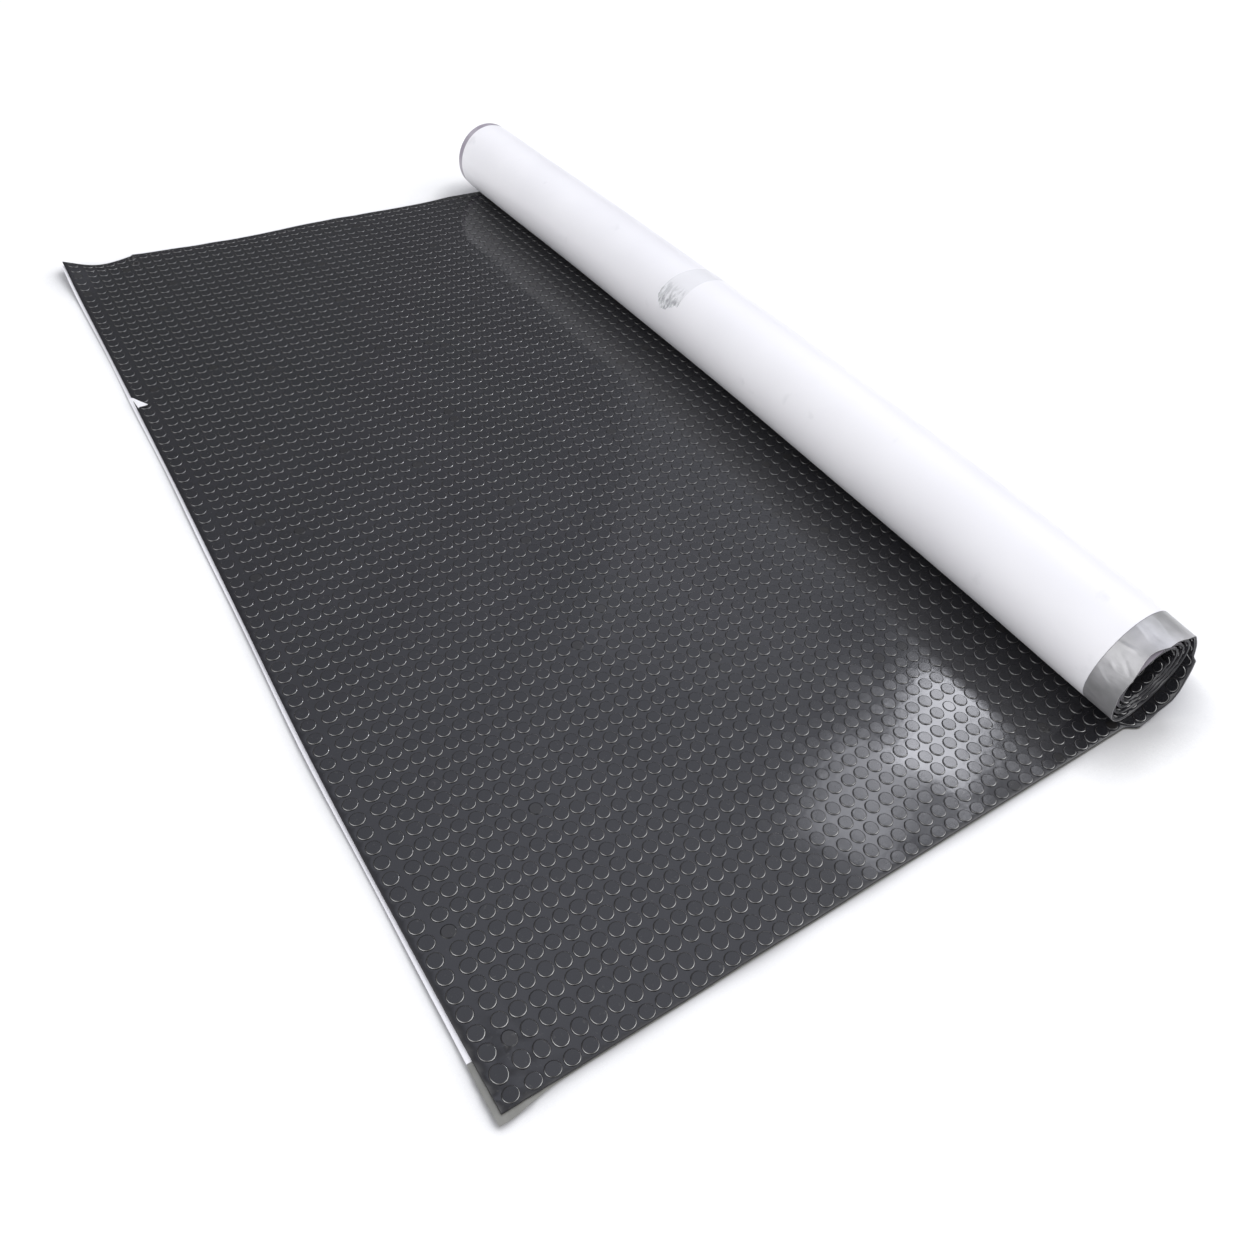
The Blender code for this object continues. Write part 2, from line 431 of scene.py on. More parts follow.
def make_rubber():
    coat = {"Coat_IOR": POLISH_IOR, "Coat_Roughness": 0.12}
    material, tree, shader, place = new_finish("studded_rubber", IOR=1.5, **coat)
    stud = add_node(tree, "Attribute", {"attribute_name": "stud_height"}).outputs["Fac"]
    tones = add_node(tree, "ValToRGB", Fac=stud).color_ramp
    for spot, colour in STUD_TONES[1:-1]:
        tones.elements.new(spot)
    for element, (spot, colour) in zip(tones.elements, STUD_TONES):
        element.position, element.color = spot, (*colour, 1)
    tone = tree.nodes["Color Ramp"].outputs["Color"]
    patches = spotting(tree, place, 9, 0.35, 0.7)
    mixed = blend_colours(tree, math_node(tree, "MULTIPLY", patches, 0.5), tone, (0.016, 0.016, 0.0185))
    specks = spotting(tree, place, 420, 0.64, 0.8)
    dusty = blend_colours(tree, specks, mixed, (0.04, 0.039, 0.038))
    tree.links.new(dusty, shader.inputs["Base Color"])
    smear = spotting(tree, place, 24, 0.3, 0.75)
    rough = remap(tree, smear, new_low=0.085, new_high=0.14)
    on_top = remap(tree, stud, 0.82, 0.88, 0.0, 0.06)
    cut_edge = remap(tree, stud, -0.7, -0.2, 0.5, 0.0)
    for more in (on_top, cut_edge):
        rough = math_node(tree, "ADD", rough, more)
    tree.links.new(rough, shader.inputs["Roughness"])
    above_foot = remap(tree, stud, 0.60, 0.70)
    below_top = remap(tree, stud, 0.86, 0.79)
    tree.links.new(math_node(tree, "MULTIPLY", above_foot, below_top), shader.inputs["Coat Weight"])
    waves = noise_bump(tree, place, 85, 2, 0.25, 0.3 * MM)
    grain = noise_bump(tree, place, 1300, 2, 0.10, 0.08 * MM, Normal=waves)
    tree.links.new(grain, shader.inputs["Normal"])
    return material


rubber = make_rubber()

# %% [markdown]
# ## Finish: the sheet's sticky back
# Underneath, the rubber carries a layer of adhesive. Where no liner covers it, as in the narrow rim
# at the far end of the roll, it is a dull mauve grey with brighter smears.
# %% Make the adhesive
def make_adhesive():
    material, tree, shader, place = new_finish("adhesive_back", Roughness=0.42)
    smears = spotting(tree, place, 60, 0.35, 0.7)
    colour = blend_colours(tree, smears, (0.30, 0.27, 0.32), (0.42, 0.39, 0.44))
    tree.links.new(colour, shader.inputs["Base Color"])
    tree.links.new(noise_bump(tree, place, 300, 2, 0.4, 0.3 * MM), shader.inputs["Normal"])
    return material


adhesive = make_adhesive()

# %% [markdown]
# ## Finish: the paper liner
# Release liner is white paper with a thin silicone coat: bright, very slightly lilac, with a soft
# shine. Long dents catch the light, and there are faint grey scuffs where the roll has been
# carried.
# %% Make the paper
def make_paper():
    material, tree, shader, place = new_finish("paper_liner", Coat_Weight=0.25, Coat_Roughness=0.3)
    tone = spotting(tree, place, 6, 0.3, 0.7)
    white = blend_colours(tree, tone, (0.775, 0.77, 0.805), (0.835, 0.83, 0.86))
    scuffs = spotting(tree, place, 38, 0.66, 0.84, 6)
    scuffed = blend_colours(tree, scuffs, white, (0.68, 0.68, 0.71))
    tree.links.new(scuffed, shader.inputs["Base Color"])
    tree.links.new(remap(tree, tone, new_low=0.42, new_high=0.55), shader.inputs["Roughness"])
    buckles = noise_bump(tree, place, 19, 3, 0.35, 1.6 * MM)
    fibres = noise_bump(tree, place, 1600, 3, 0.12, 0.1 * MM, Normal=buckles)
    tree.links.new(fibres, shader.inputs["Normal"])
    return material


paper = make_paper()

# %% [markdown]
# ## Finish: silver tape
# The tape is a grey metallised film. It is satin rather than mirror bright, blotchy where it has
# been rubbed, and it is wrinkled. Its larger creases are real mesh; the small ones are a stretched
# noise in the bump. On the flat part its colour is painted darker, as painted shade by the sheet's
# edge. Inside the roll it is painted nearly black, also as painted shade, because there its edges
# can't be told from the rubber.
# %% Make the silver tape's finish
def make_silver():
    material, tree, shader, place = new_finish("silver_tape", Metallic=0.55)
    blotches = spotting(tree, place, 42, 0.3, 0.72, 5)
    blotched_tone = blend_colours(tree, blotches, (0.33, 0.33, 0.335), (0.50, 0.495, 0.51))
    wound = add_node(tree, "Attribute", {"attribute_name": "wound"}).outputs["Fac"]
    # painted shade: on the flat part the tape's colour is darker
    outside = blend_colours(tree, remap(tree, wound, 0.0, 0.03), (0.235, 0.232, 0.212), blotched_tone)
    # painted shade: inside the roll the tape's colour is nearly black
    colour = blend_colours(tree, remap(tree, wound, 1.9, 2.1), outside, (0.03, 0.03, 0.031))
    tree.links.new(colour, shader.inputs["Base Color"])
    tree.links.new(remap(tree, blotches, new_low=0.30, new_high=0.46), shader.inputs["Roughness"])
    stretched = add_node(tree, "Mapping", Vector=place, Scale=(1.0, 0.45, 1.0)).outputs["Vector"]
    tree.links.new(noise_bump(tree, stretched, 95, 4, 0.5, 1.2 * MM), shader.inputs["Normal"])
    return material


silver = make_silver()

# %% [markdown]
# ## Finish: clear film
# Packing tape can hardly be seen on white paper, apart from a faint grey tint. Its torn end is
# different: dirt has stuck to it and it is crumpled. The opacity therefore follows the distance
# round the roll, which every mesh here carries as a painted number, and dirt comes in as streaks.
# %% Make the film
TORN_FROM, TORN_TO = 1.17, 1.36


def make_film():
    material, tree, shader, place = new_finish("clear_film", Roughness=0.16, IOR=1.45)
    wound = add_node(tree, "Attribute", {"attribute_name": "wound"}).outputs["Fac"]
    torn = remap(tree, wound, TORN_FROM, TORN_TO)
    streaked = add_node(tree, "Mapping", Vector=place, Scale=(1.0, 2.6, 1.0)).outputs["Vector"]
    streaks = spotting(tree, streaked, 130, 0.42, 0.66, 5)
    colour = blend_colours(tree, streaks, (0.62, 0.65, 0.64), (0.36, 0.37, 0.39))
    tree.links.new(colour, shader.inputs["Base Color"])
    dirt = math_node(tree, "MULTIPLY", torn, streaks)
    tree.links.new(remap(tree, dirt, new_low=0.05, new_high=0.42), shader.inputs["Alpha"])
    tree.links.new(noise_bump(tree, place, 240, 3, 0.5, 0.6 * MM), shader.inputs["Normal"])
    return material


film = make_film()
print("finishes:", [material.name for material in (rubber, adhesive, paper, silver, film)])

# %% [markdown]
# ## The grid that the studs sit on
# The studs stand on a square grid. Its columns are counted from the roll line, two to a hinged
# panel, so that a bend never runs through a stud. Its rows are counted from the far edge, so the
# row at the near edge, where the sheet was trimmed, is cut short.
# %% Lay out the grid
COLUMN = PANEL / 2
ROW = 12.03 * MM
FAR_MARGIN = 2.7 * MM
ROWS = 83
FLAT_COLUMNS = 43
EDGE_ROUND = 0.4 * MM

row_lines = FAR_EDGE - FAR_MARGIN - ROW * np.arange(ROWS, -1, -1)
row_lines[0] = NEAR_EDGE + EDGE_ROUND
row_lines[-1] = FAR_EDGE - EDGE_ROUND
column_lines = ROLL_LINE + COLUMN * np.arange(-FLAT_COLUMNS, round((ROLL_END - ROLL_LINE) / COLUMN) + 1)
column_lines[0] = FREE_EDGE + EDGE_ROUND
print(f"{len(column_lines) - 1} columns and {ROWS} rows of studs, {ROW / MM:.1f} mm apart")

# %% [markdown]
# ## One stud
# A stud is a low button: a soft foot, a steep side, a rounded rim and a flat top. It could be made
# once and copied by an array, but then it would only stand in the sheet, with a hard line round it.
# Here each cell of the grid is a ring of sixteen border points joined to the stud's own rings, so
# that sheet and studs are one skin. No two studs are quite alike: each gets a small shift, stretch
# and height of its own, and a few are smaller and lower.
# %% Describe the studs
STUD_RINGS = [(5.20, 0.0), (5.05, 0.36), (4.76, 0.62), (4.35, 0.74)]
ring_angles = np.arange(SIDES) * 2 * math.pi / SIDES
quarters = (1 + np.tan(np.radians([-45, -22.5, 0, 22.5, 45]))) / 2
border_steps = [(4, 2), (4, 3), (4, 4), (3, 4), (2, 4), (1, 4), (0, 4), (0, 3)]
border_steps += [(4 - column, 4 - row) for column, row in border_steps]


def stud_habits(columns, rows):
    """Shift, stretch and height of each stud, from its column and row, whatever piece it is in."""
    seed = (columns * 92821 + rows * 68917) % 100003
    draws = np.array([np.random.default_rng(int(value)).random(6) for value in seed])
    shift = (draws[:, 0:2] - 0.5) * 0.7 * MM
    stretch = 1 + (draws[:, 2:4] - 0.5) * 0.07
    height = 1 + (draws[:, 4] - 0.5) * 0.08
    odd = draws[:, 5] > 0.985
    stretch[odd] *= 0.92
    height[odd] *= 0.6
    return shift, stretch, height


# %% [markdown]
# ## A stretch of studded sheet
# This draws any stretch of the sheet as one closed skin: the studded top, the walls and the sticky
# back. An edge that shows is rounded a little. A side that meets the next stretch is left square,
# so that the two close up. The back is plain, so it has a coarser grid than the top, and the walls
# at the two ends join five points to two.
# %% Draw the studs of a stretch
def ring_faces(outer, inner):
    """Quads between two rings of points, for every stud at once."""
    quads = np.stack([outer, np.roll(outer, -1, axis=1), np.roll(inner, -1, axis=1), inner], axis=-1)
    return quads.reshape(-1, 4).tolist()


def quarter_lines(lines):
    """The lines of a grid and three between each two of them, where a border ring has its points."""
    return np.append((lines[:-1, None] + np.diff(lines)[:, None] * quarters[:4]).ravel(), lines[-1])


def draw_studs(first_column, columns, first_row, rows):
    """The studded top, as points and faces. Welding later joins the border rings of its cells."""
    cells = np.meshgrid(np.arange(columns), np.arange(rows), indexing="ij")
    column, row = (part.ravel() for part in cells)
    column += first_column
    row += first_row
    low = np.stack([column_lines[column], row_lines[row]], axis=1)
    high = np.stack([column_lines[column + 1], row_lines[row + 1]], axis=1)
    share = quarters[np.array(border_steps)]
    border = low[:, None] + (high - low)[:, None] * share[None]
    shift, stretch, height = stud_habits(column, row)
    room = np.minimum((high - low) / np.array([COLUMN, ROW]), 1)
    middle = (low + high) / 2 + shift * room
    rings = [np.dstack([border, np.full(border.shape[:2], BASE)])]
    for radius, lift in STUD_RINGS:
        circle = radius * MM * np.stack([np.cos(ring_angles), np.sin(ring_angles)], axis=1)
        ring = middle[:, None] + (stretch * room)[:, None] * circle[None]
        rings.append(np.dstack([ring, np.broadcast_to(BASE + lift * MM * height[:, None], ring.shape[:2])]))
    count = len(column) * SIDES
    numbers = [index * count + np.arange(count).reshape(-1, SIDES) for index in range(len(rings))]
    faces = [face for outer, inner in zip(numbers, numbers[1:]) for face in ring_faces(outer, inner)]
    return np.concatenate([ring.reshape(-1, 3) for ring in rings]), faces + numbers[-1].tolist()


# %% Close the stretch with walls and a back
def draw_walls(along, across, first):
    """A rounded shoulder under the top's border and the wall down to the back, on all four sides."""
    lines = []
    sides = ((along, across[0]), (along, across[-1]), (along[0], across), (along[-1], across))
    for side_along, side_across in sides:
        spots = np.stack(np.broadcast_arrays(side_along, side_across), axis=1)
        top = np.column_stack([spots, np.full(len(spots), BASE)])
        edge = top - np.array([0, 0, EDGE_ROUND])
        edge[:, 0] -= EDGE_ROUND * (spots[:, 0] < FREE_EDGE + 2 * EDGE_ROUND)
        edge[:, 1] -= EDGE_ROUND * (spots[:, 1] < NEAR_EDGE + 2 * EDGE_ROUND)
        edge[:, 1] += EDGE_ROUND * (spots[:, 1] > FAR_EDGE - 2 * EDGE_ROUND)
        foot = edge.copy()
        foot[:, 2] = SHEET_BOTTOM
        lines.append((top, edge, foot))
    points, faces = [], []
    for side, (top, edge, foot) in enumerate(lines):
        upper = first + np.arange(len(top))
        middle, lower = upper + len(top), upper + 2 * len(top)
        faces += np.stack([upper[:-1], upper[1:], middle[1:], middle[:-1]], axis=1).tolist()
        if side < 2:
            faces += np.stack([middle[:-1], middle[1:], lower[1:], lower[:-1]], axis=1).tolist()
        else:
            faces += [[lower[at + 4], lower[at], *middle[at : at + 5]] for at in range(0, len(top) - 1, 4)]
        points += [top, edge, foot]
        first += 3 * len(top)
    return np.concatenate(points), faces


def studded_stretch(name, first_column, columns, first_row=0, rows=ROWS):
    """One closed piece of studded sheet, from its first column and row."""
    along = quarter_lines(column_lines[first_column : first_column + columns + 1])
    across = quarter_lines(row_lines[first_row : first_row + rows + 1])
    top, top_faces = draw_studs(first_column, columns, first_row, rows)
    walls, wall_faces = draw_walls(along, across, len(top))
    back_along, back_across = along.copy(), across[::4].copy()
    back_along[0] -= EDGE_ROUND * (back_along[0] < FREE_EDGE + 2 * EDGE_ROUND)
    back_across[0] -= EDGE_ROUND * (back_across[0] < NEAR_EDGE + 2 * EDGE_ROUND)
    back_across[-1] += EDGE_ROUND * (back_across[-1] > FAR_EDGE - 2 * EDGE_ROUND)
    back, back_faces, _ = draw_grid(back_along, back_across, SHEET_BOTTOM, len(top) + len(walls))
    faces = top_faces + wall_faces + back_faces
    piece = make_piece(name, [top, walls, back], faces, [rubber, adhesive], back_height=SHEET_BOTTOM)
    triangles = sum(len(face.vertices) - 2 for face in piece.data.polygons)
    print(f"{name}: {columns * rows} studs, {triangles} triangles")
    return piece


# %% [markdown]
# ## The studded sheet
# The sheet is cut into stretches where the model has its bodies. The two flat stretches could be
# one; they are split to keep each mesh under two hundred thousand triangles. The six narrow ones
# each lie across one hinge line. Inside the roll only the two ends can be seen, so only they have
# studs, and a plain strip fills the middle.
# %% Make the stretches of the sheet
FLAP_COLUMNS = 15
MAIN_COLUMNS = FLAT_COLUMNS - 2 * CURLS - FLAP_COLUMNS
HALF_MAIN = MAIN_COLUMNS // 2
END_ROWS = 10

sheet_flap = studded_stretch("studded_sheet_free_edge", 0, FLAP_COLUMNS)
sheet_main = [
    studded_stretch("studded_sheet_flat_1", FLAP_COLUMNS, HALF_MAIN),
    studded_stretch("studded_sheet_flat_2", FLAP_COLUMNS + HALF_MAIN, MAIN_COLUMNS - HALF_MAIN),
]
sheet_curls = [
    studded_stretch(f"studded_sheet_bend_{number + 1}", FLAT_COLUMNS - 2 * (CURLS - number), 2)
    for number in range(CURLS)
]
roll_columns = len(column_lines) - 1 - FLAT_COLUMNS
sheet_roll_near = studded_stretch("studded_sheet_roll_near_end", FLAT_COLUMNS, roll_columns, 0, END_ROWS)
sheet_roll_far = studded_stretch(
    "studded_sheet_roll_far_end", FLAT_COLUMNS, roll_columns, ROWS - END_ROWS, END_ROWS
)
sheet_roll_middle = plain_strip(
    "studded_sheet_roll_middle",
    quarter_lines(column_lines[FLAT_COLUMNS:]),
    steps(row_lines[END_ROWS], row_lines[ROWS - END_ROWS], 60 * MM),
    SHEET_BOTTOM,
    BASE,
    [rubber, adhesive],
    back_height=SHEET_BOTTOM,
)

# %% [markdown]
# ## The nick in the far edge
# Someone has cut into the far edge, near the free corner, and the cut has opened. A Boolean with a
# narrow wedge is the natural way, because it works on the finished mesh whatever its studs are
# doing. The liner under it is cut too.
# %% Cut the nick
NICK_OUTLINE = [(-4.2, 8), (3.0, 8), (2.6, -14), (1.2, -20), (2.2, -40), (0.4, -20), (-1.6, -15)]


def cut_nick(piece):
    corners = [(NICK_AT + x * MM, FAR_EDGE + y * MM) for x, y in NICK_OUTLINE]
    points = [(x, y, z) for z in (-5 * MM, 30 * MM) for x, y in corners]
    count = len(corners)
    sides = [(i, (i + 1) % count, count + (i + 1) % count, count + i) for i in range(count)]
    mesh = bpy.data.meshes.new("nick_wedge")
    mesh.from_pydata(points, [], [tuple(range(count))[::-1], tuple(range(count, 2 * count))] + sides)
    wedge = bpy.data.objects.new("nick_wedge", mesh)
    bpy.context.scene.collection.objects.link(wedge)
    cut = piece.modifiers.new("nick", "BOOLEAN")
    cut.operation = "DIFFERENCE"
    cut.object = wedge
    shown = bpy.context.evaluated_depsgraph_get()
    result = bpy.data.meshes.new_from_object(piece.evaluated_get(shown))
    piece.modifiers.clear()
    piece.data = result
    bpy.data.objects.remove(wedge)
    print(f"{piece.name}: nick cut, {len(result.polygons)} faces")


# %% [markdown]
# ## The liner
# The liner lies under the sheet and becomes the outside of the roll. It is a smooth paper, so it
# needs points only where it curves: every few degrees round the roll. It sticks out a little at the
# free edge, which shows as a white line beside the black sheet.
# %% Make the liner's strips
ROUND_STEP = math.radians(5)
BARE_RIM = 3 * MM
bend_lines = [ROLL_LINE - (CURLS - number) * PANEL for number in range(CURLS + 1)]
liner_across = np.concatenate([
    steps(liner_low[1], liner_low[1] + 0.04, 8 * MM)[:-1],
    steps(liner_low[1] + 0.04, liner_high[1], 22 * MM),
])
wound_along = along_at(steps(0, TURNS * 2 * math.pi, ROUND_STEP))


def bare_rim(points):
    """Pulls the liner's far edge in, so that a rim of the sheet's sticky back shows round the roll."""
    points[:, 1] -= BARE_RIM * (points[:, 1] > liner_high[1] - WELD)
    return points


def make_strips(name, across, start, low, high, material, wound, shape=None):
    """The strips of one under layer: flat with its free edge, one for each bend, and wound."""
    flat = plain_strip(name + "_flat", steps(start, bend_lines[0], 6 * MM), across, low, high, [material])
    bends = []
    for number, line in enumerate(bend_lines[:-1]):
        along = steps(line, line + PANEL, 2 * MM)
        bends.append(plain_strip(f"{name}_bend_{number + 1}", along, across, low, high, [material]))
    roll = plain_strip(name + "_roll", wound, across, low, high, [material], shape)
    return flat, bends, roll


liner_flat, liner_bends, liner_roll = make_strips(
    "paper_liner", liner_across, LINER_EDGE, 0, LINER_TOP, paper, wound_along, bare_rim
)
for piece in (sheet_flap, liner_flat):
    cut_nick(piece)

# %% [markdown]
# ## The silver tape
# The tape runs along the near edge and sticks out past it. Round the roll it has been pulled and
# squashed, so it is creased. Each crease is a low ridge or furrow along a slanting line, modelled
# because it catches the light.
# %% Crease and make the tape
CREASES = [((198, 31), (205, 9), 0.5), ((222, 29), (218, 10), 0.42), ((193, 15), (195, 6), 0.25)]
CREASES += [((241, 23), (245, 17), 0.3), ((176, 26), (181, 8), 0.16), ((252, 30), (262, 12), 0.24)]
CREASES += [((232, 13), (240, 3), -0.3), ((283, 27), (290, 10), 0.24), ((229, 22), (233, 12), -0.25)]
CREASE_WIDTH = 1.5 * MM
INNER_NARROWING = 0.24


def creases(points):
    """Pushes the tape in or out along its creases. Each joins two spots: degrees, mm from the edge."""
    spots = np.stack([angle_at(points[:, 0]) * ROLL_RADIUS, points[:, 1] - NEAR_EDGE], axis=1)
    for start, end, height in CREASES:
        ends = [(math.radians(turned) * ROLL_RADIUS, place * MM) for turned, place in (start, end)]
        first, last = np.array(ends)
        share = np.clip((spots - first) @ (last - first) / np.sum((last - first) ** 2), 0, 1)
        gap = np.linalg.norm(spots - first - share[:, None] * (last - first), axis=1)
        fade = np.sin(math.pi * (0.12 + 0.76 * share))
        points[:, 2] -= height * MM * np.exp(-((gap / CREASE_WIDTH) ** 2)) * fade
    points[:, 1] += (tape_high[1] - points[:, 1]) * INNER_NARROWING * ease(angle_at(points[:, 0]), 5.8, 7.0)
    return points


first_turn = along_at(steps(0, 2 * math.pi, math.radians(1.2)))
inner_turns = along_at(steps(2 * math.pi, TURNS * 2 * math.pi, ROUND_STEP))
tape_wound = np.concatenate([first_turn[:-1], inner_turns])
tape_across = steps(tape_low[1], tape_high[1], 1.7 * MM)
tape_flat, tape_bends, tape_roll = make_strips(
    "silver_tape", tape_across, LINER_EDGE, 0, LINER_TOP, silver, tape_wound, creases
)
print("tape points round the roll:", len(tape_wound))

# %% [markdown]
# ## The clear tape
# A short strip of packing tape holds the paper over the top of the roll. Its ends are pulled from a
# straight strip: one is torn off at a slant, with teeth, and the strip is a little wider there.
# %% Tear and make the clear tape
film_low, film_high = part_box("clear_tape")
FILM_FROM, FILM_TO = math.radians(131), math.radians(238)
FILM_LIFT = LINER_TOP + 0.1 * MM
FILM_THICK = 0.15 * MM
film_end = along_at(FILM_TO)
film_width = film_high[1] - film_low[1]


def tear(points):
    """Pulls the end of the strip into a slanting, toothed line and crumples it."""
    share = (points[:, 1] - film_low[1]) / film_width
    near_end = ease(points[:, 0], film_end - 0.022, film_end)
    slant = 0.010 * np.sin(math.pi * share**1.6) + 0.001 * np.sin(share * 37) * np.sin(share * 11)
    points[:, 0] += slant * near_end
    points[:, 1] += 0.006 * share * ease(points[:, 0], film_end - 0.05, film_end)
    crumpled = 1 + np.sin(points[:, 0] * 900 + share * 9) * np.sin(share * 14)
    points[:, 2] -= 0.3 * MM * near_end * crumpled / 2
    return points


clear_tape = plain_strip(
    "clear_tape_strip",
    along_at(steps(FILM_FROM, FILM_TO, math.radians(1.5))),
    steps(film_low[1], film_high[1], 1.2 * MM),
    -FILM_LIFT - FILM_THICK,
    -FILM_LIFT,
    [film],
    tear,
)
print(f"clear tape {film_width / MM:.0f} mm wide, {(film_end - along_at(FILM_FROM)) / MM:.0f} mm long")

# %% [markdown]
# ## A torn scrap of liner
# Two thirds of the way along the free edge the liner is torn, and a pointed scrap of it has curled
# up over the sheet. A simple sheet of points that narrows to its tip is enough.
# %% Make the scrap
SCRAP_BASE = ((-2.4, 727), (-0.6, 704))
SCRAP_TIP = (10, 700)
SCRAP_THICK = 0.25 * MM


def curl_scrap(points):
    """Turns a unit strip into the scrap. Its first number runs from base to tip, its second across."""
    share, across = points[:, 0], points[:, 1]
    base = np.array(SCRAP_BASE[0]) + np.outer(across, np.subtract(SCRAP_BASE[1], SCRAP_BASE[0]))
    spots = base + share[:, None] * 0.98 * (np.array(SCRAP_TIP) - base)
    height = points[:, 2] + (3.0 * ease(share, 0, 0.3) + 2.2 * share**2) * MM
    return np.column_stack([FREE_EDGE + spots[:, 0] * MM, NEAR_EDGE + spots[:, 1] * MM, height])


scrap = plain_strip("liner_scrap", steps(0, 1, 0.1), steps(0, 1, 0.2), 0, SCRAP_THICK, [paper], curl_scrap)
print("scrap reaches", max(vertex.co.z for vertex in scrap.data.vertices).__round__(4), "m above the floor")


def bend_at(piece):
    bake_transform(piece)


def ride_bends(pieces, layer):
    """The narrow stretches of a layer, each between two neighbouring bodies. Their places are baked in and
    the model's pieces that they stand for are hidden.
    """
    for number, piece in enumerate(pieces):
        bend_at(piece)
        node = f"{layer}_panel_{number + 1}" if number < CURLS - 1 else f"{layer}_roll"
        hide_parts(node)


bend_at(sheet_flap)
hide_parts("studded_sheet_flap", "studded_sheet_main")
for piece in sheet_main:
    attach(piece, "main")
    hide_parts("studded_sheet_main")
for piece in (sheet_roll_near, sheet_roll_middle, sheet_roll_far):
    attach(piece, "roll")
    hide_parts("studded_sheet_roll")

for layer, flat, roll, flap_body in (
    ("liner", liner_flat, liner_roll, "liner_flap"),
    ("edge_tape", tape_flat, tape_roll, "edge_flap"),
):
    bend_at(flat)
    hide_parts(layer + "_flap", layer + "_main")
    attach(roll, "roll")
    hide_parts(layer + "_roll")

for layer, pieces in (("studded_sheet", sheet_curls), ("liner", liner_bends), ("edge_tape", tape_bends)):
    ride_bends(pieces, layer)

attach(clear_tape, "roll")
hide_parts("clear_tape")
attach(scrap, "edge_flap")


# %% [markdown]
# ## The stage: a pale floor
# The floor is one large pale square, just under the mat. A thin object lying on it has only a
# narrow shadow, so the floor also darkens by ambient occlusion: the less open sky a spot can see
# nearby, the darker it is.
# %% Make the floor
FLOOR_REACH = 8.0
FLOOR_DROP = 0.3 * MM
SHADOW_REACH = 0.05
SHADOW_DEPTH = 8.0
SHADOW_TONE = (0.46, 0.46, 0.47)
FLOOR_TONE = (0.90, 0.90, 0.90)

floor_mesh = bpy.data.meshes.new("floor")
corner_signs = ((-1, -1), (1, -1), (1, 1), (-1, 1))
floor_corners = [(x * FLOOR_REACH, y * FLOOR_REACH, -FLOOR_DROP) for x, y in corner_signs]
floor_mesh.from_pydata(floor_corners, [], [(0, 1, 2, 3)])
floor = bpy.data.objects.new("floor", floor_mesh)
bpy.context.scene.collection.objects.link(floor)

pale, tree, shader, _ = new_finish("pale_floor", Roughness=0.9)
openness = add_node(tree, "AmbientOcclusion", {"samples": 16}, Distance=SHADOW_REACH).outputs["AO"]
deeper = math_node(tree, "POWER", openness, SHADOW_DEPTH)
shade = blend_colours(tree, deeper, SHADOW_TONE, FLOOR_TONE)
tree.links.new(shade, shader.inputs["Base Color"])
floor_mesh.materials.append(pale)
print("floor", 2 * FLOOR_REACH, "m wide")

# %% [markdown]
# ## The camera
# A wide lens stands close to the near corner, about half a metre up, and looks down across the mat.
# It is turned a few degrees round its own axis, so upright things lean a little.
# %% Place the camera
CAMERA_PLACE = Vector((-0.3407, -0.6648, 0.5378))
CAMERA_AIM = Vector((-0.0317, -0.2402, 0.0))
CAMERA_ROLL = math.radians(4.89)
lens = bpy.data.cameras.new("camera")
lens.sensor_width = 36
lens.lens = 28.77
lens.clip_start = 0.01
camera = bpy.data.objects.new("camera", lens)
camera.location = CAMERA_PLACE
camera.rotation_mode = "QUATERNION"
level = (CAMERA_AIM - CAMERA_PLACE).to_track_quat("-Z", "Y")
camera.rotation_quaternion = level @ Quaternion((0, 0, 1), CAMERA_ROLL)
bpy.context.scene.collection.objects.link(camera)
bpy.context.scene.camera = camera
print("camera", round((CAMERA_AIM - CAMERA_PLACE).length, 2), "m from what it looks at")

# %% [markdown]
# ## Soft light all round
# Black rubber shows its shape by what it mirrors, so the room matters more than any lamp. The room
# here is dim and has three wide soft lights in it: one on each side and one high up ahead. Each is
# a smooth bright patch in the sky, made by comparing a direction with the light's own direction.
# Side light leaves the mat dark but the floor white.
# %% Light the room
ROOM = 0.125
HEADING = math.atan2(CAMERA_AIM.y - CAMERA_PLACE.y, CAMERA_AIM.x - CAMERA_PLACE.x)
SOFT_LIGHTS = [
    ("right side", 90, 35, 6, (3.05, 3.05, 3.08)),
    ("left side", 225, 35, 6, (2.92, 2.92, 2.96)),
    ("high ahead", 0, 62, 10, (1.10, 1.14, 1.30)),
]

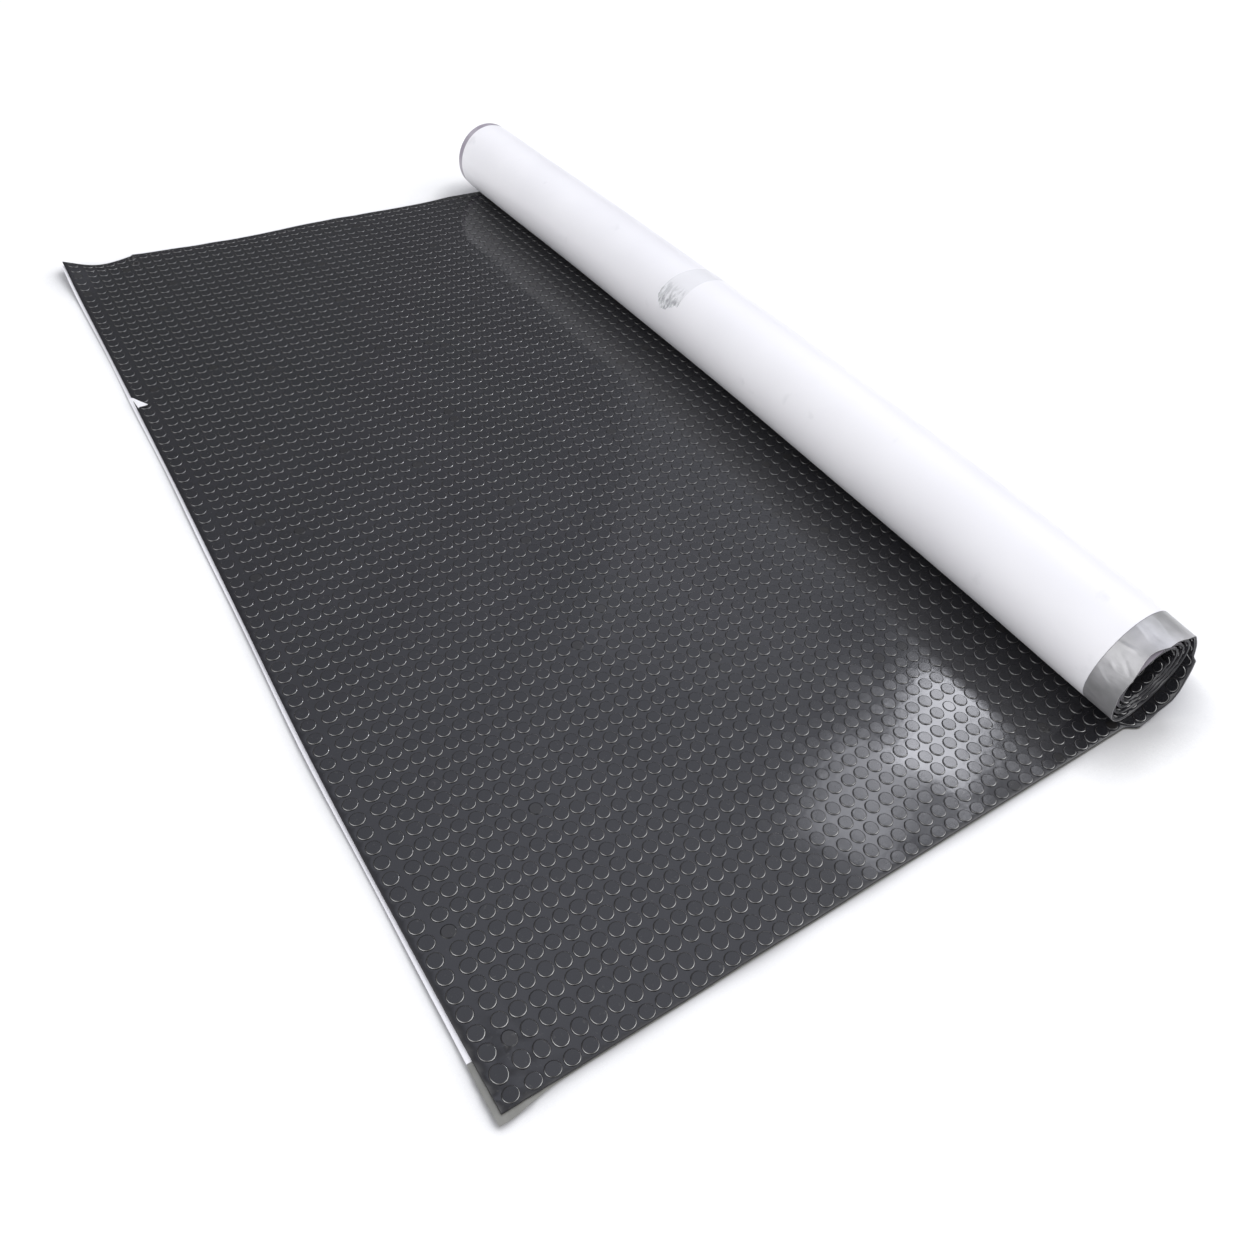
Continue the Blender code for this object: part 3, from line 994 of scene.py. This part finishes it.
room = bpy.data.worlds.new("room")
room.use_nodes = True
tree = room.node_tree
looking = add_node(tree, "TexCoord").outputs["Generated"]
total = (ROOM, ROOM, ROOM)
for name, turned, raised, narrow, colour in SOFT_LIGHTS:
    heading, raised = HEADING - math.radians(turned), math.radians(raised)
    towards = (math.cos(heading) * math.cos(raised), math.sin(heading) * math.cos(raised), math.sin(raised))
    facing = add_node(tree, "VectorMath", {"operation": "DOT_PRODUCT"}, in0=looking, in1=towards)
    ahead = math_node(tree, "MAXIMUM", facing.outputs["Value"], 0.0)
    patch = math_node(tree, "POWER", ahead, float(narrow))
    lit = add_node(tree, "VectorMath", {"operation": "SCALE"}, in0=colour, Scale=patch).outputs["Vector"]
    total = add_node(tree, "VectorMath", {"operation": "ADD"}, in0=lit, in1=total).outputs["Vector"]
tree.links.new(total, tree.nodes["Background"].inputs["Color"])
bpy.context.scene.world = room
bpy.context.scene.view_settings.view_transform = "Standard"
print("room lit by", [light[0] for light in SOFT_LIGHTS])

# %% [markdown]
# ## Windows mirrored in the rubber
# Two panes of a window are mirrored near the roll. A mirror image appears where a ray from the
# camera, bounced off the flat sheet, meets the light, so each light is placed along such a bounced
# ray through the spot where it should show. A third light, large and faint, is mirrored as a haze
# beside the roll.
# %% Add the mirrored windows
DAYLIGHT = (0.92, 0.93, 1.0)


def mirrored_light(name, spot, distance, size, power, turn=0.0):
    """A light that the flat sheet mirrors towards the camera at a spot."""
    spot = Vector(spot)
    towards = spot - CAMERA_PLACE
    towards.z = -towards.z
    lamp = bpy.data.lights.new(name, "AREA")
    lamp.shape = "RECTANGLE"
    lamp.size, lamp.size_y = size
    lamp.energy = power
    lamp.color = DAYLIGHT
    light = bpy.data.objects.new(name, lamp)
    light.location = spot + towards.normalized() * distance
    light.rotation_mode = "QUATERNION"
    light.rotation_quaternion = (-towards).to_track_quat("-Z", "Y") @ Quaternion((0, 0, 1), turn)
    bpy.context.scene.collection.objects.link(light)


mirrored_light("window_left", (0.026, -0.4430, 0), 2.0, (0.20, 0.27), 0.85)
mirrored_light("window_right", (0.109, -0.4325, 0), 2.3, (0.25, 0.33), 3.0)
mirrored_light("haze", (0.126, -0.16, 0), 2.6, (0.8, 1.3), 0.9)
